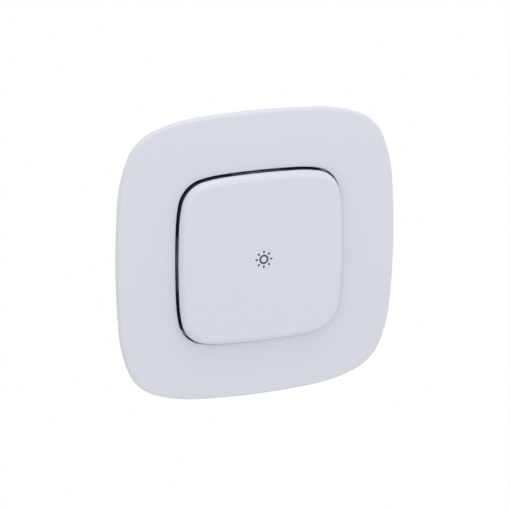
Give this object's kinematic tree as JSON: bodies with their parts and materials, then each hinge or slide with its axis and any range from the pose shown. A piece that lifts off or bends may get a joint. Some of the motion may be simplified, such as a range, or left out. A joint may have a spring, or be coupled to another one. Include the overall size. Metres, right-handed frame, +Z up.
{
  "type": "smart dimmer switch",
  "caption": "Wall dimmer with a domed rounded-square cover plate, a tilting button on sprung contact plungers, a steel mounting strap and a screw-terminal insert for a round flush box.",
  "frame": {"origin": "centre of the mounting strap's back face, in the plane of the wall", "axes": "+X right, +Z up and +Y into the wall, so the button faces -Y"},
  "size_m": [0.094, 0.0338, 0.094],
  "materials": {
    "white_plastic": "satin",
    "black_plastic": "matt",
    "anthracite_plastic": "matt",
    "grey_plastic": "matt",
    "housing_plastic": "fine spark texture",
    "zinc_steel": "zinc plated",
    "clear_plastic": "clear",
    "circuit_board": "solder mask",
    "gold_plating": "plated",
    "led_resin": "gloss",
    "tinned_sheet": "tinned",
    "chip_resin": "matt",
    "aluminium_sheet": "brushed",
    "capacitor_case": "semi-gloss",
    "capacitor_sleeve": "semi-gloss",
    "ferrite": "sintered",
    "copper_wire": "enamelled",
    "fuse_ceramic": "glazed",
    "varistor_coating": "dipped",
    "brass": "bright",
    "carbon_rubber": "matt",
    "silicone_rubber": "matt"
  },
  "bodies": {
    "wall_unit": {"cover_plate": "white_plastic", "plate_carrier": "anthracite_plastic", "mounting_strap": "zinc_steel", "front_cover": "grey_plastic", "rear_housing": "housing_plastic", "housing_screws": "zinc_steel", "light_guide": "clear_plastic", "control_board": "circuit_board", "contact_pads": "gold_plating", "status_led": "led_resin", "radio_shield_can": "tinned_sheet", "microcontroller": "chip_resin", "header_strip": "black_plastic", "header_pins": "gold_plating", "power_board": "circuit_board", "heat_spreader": "aluminium_sheet", "power_transistors": "chip_resin", "film_capacitor": "capacitor_case", "storage_capacitor": "capacitor_sleeve", "choke_core": "ferrite", "choke_winding": "copper_wire", "fuse": "fuse_ceramic", "varistor": "varistor_coating", "terminal_cages": "brass", "terminal_screws": "zinc_steel", "upper_spring_dome": "silicone_rubber", "lower_spring_dome": "silicone_rubber"},
    "rocker": {"rocker_cap": "white_plastic", "rocker_carrier": "black_plastic"},
    "upper_plunger": {"upper_plunger": "grey_plastic", "upper_contact_pill": "carbon_rubber"},
    "lower_plunger": {"lower_plunger": "grey_plastic", "lower_contact_pill": "carbon_rubber"}
  },
  "joints": [
    {"name": "rocker_tilt", "type": "hinge", "parent": "wall_unit", "child": "rocker", "pos_m": [0, -0.0037, 0], "axis": [-1, 0, 0], "range_deg": [-2, 2], "stiffness_Nm_per_rad": 2},
    {"name": "upper_press", "type": "slide", "parent": "wall_unit", "child": "upper_plunger", "axis": [0, 1, 0], "range_m": [-0.0005, 0.0005], "deforming": ["upper_spring_dome"]},
    {"name": "lower_press", "type": "slide", "parent": "wall_unit", "child": "lower_plunger", "axis": [0, 1, 0], "range_m": [-0.0005, 0.0005], "deforming": ["lower_spring_dome"]}
  ],
  "couplings": [
    {"joint": "upper_press", "follows": "rocker_tilt", "m_per_rad": 0.014},
    {"joint": "lower_press", "follows": "rocker_tilt", "m_per_rad": -0.014}
  ]
}
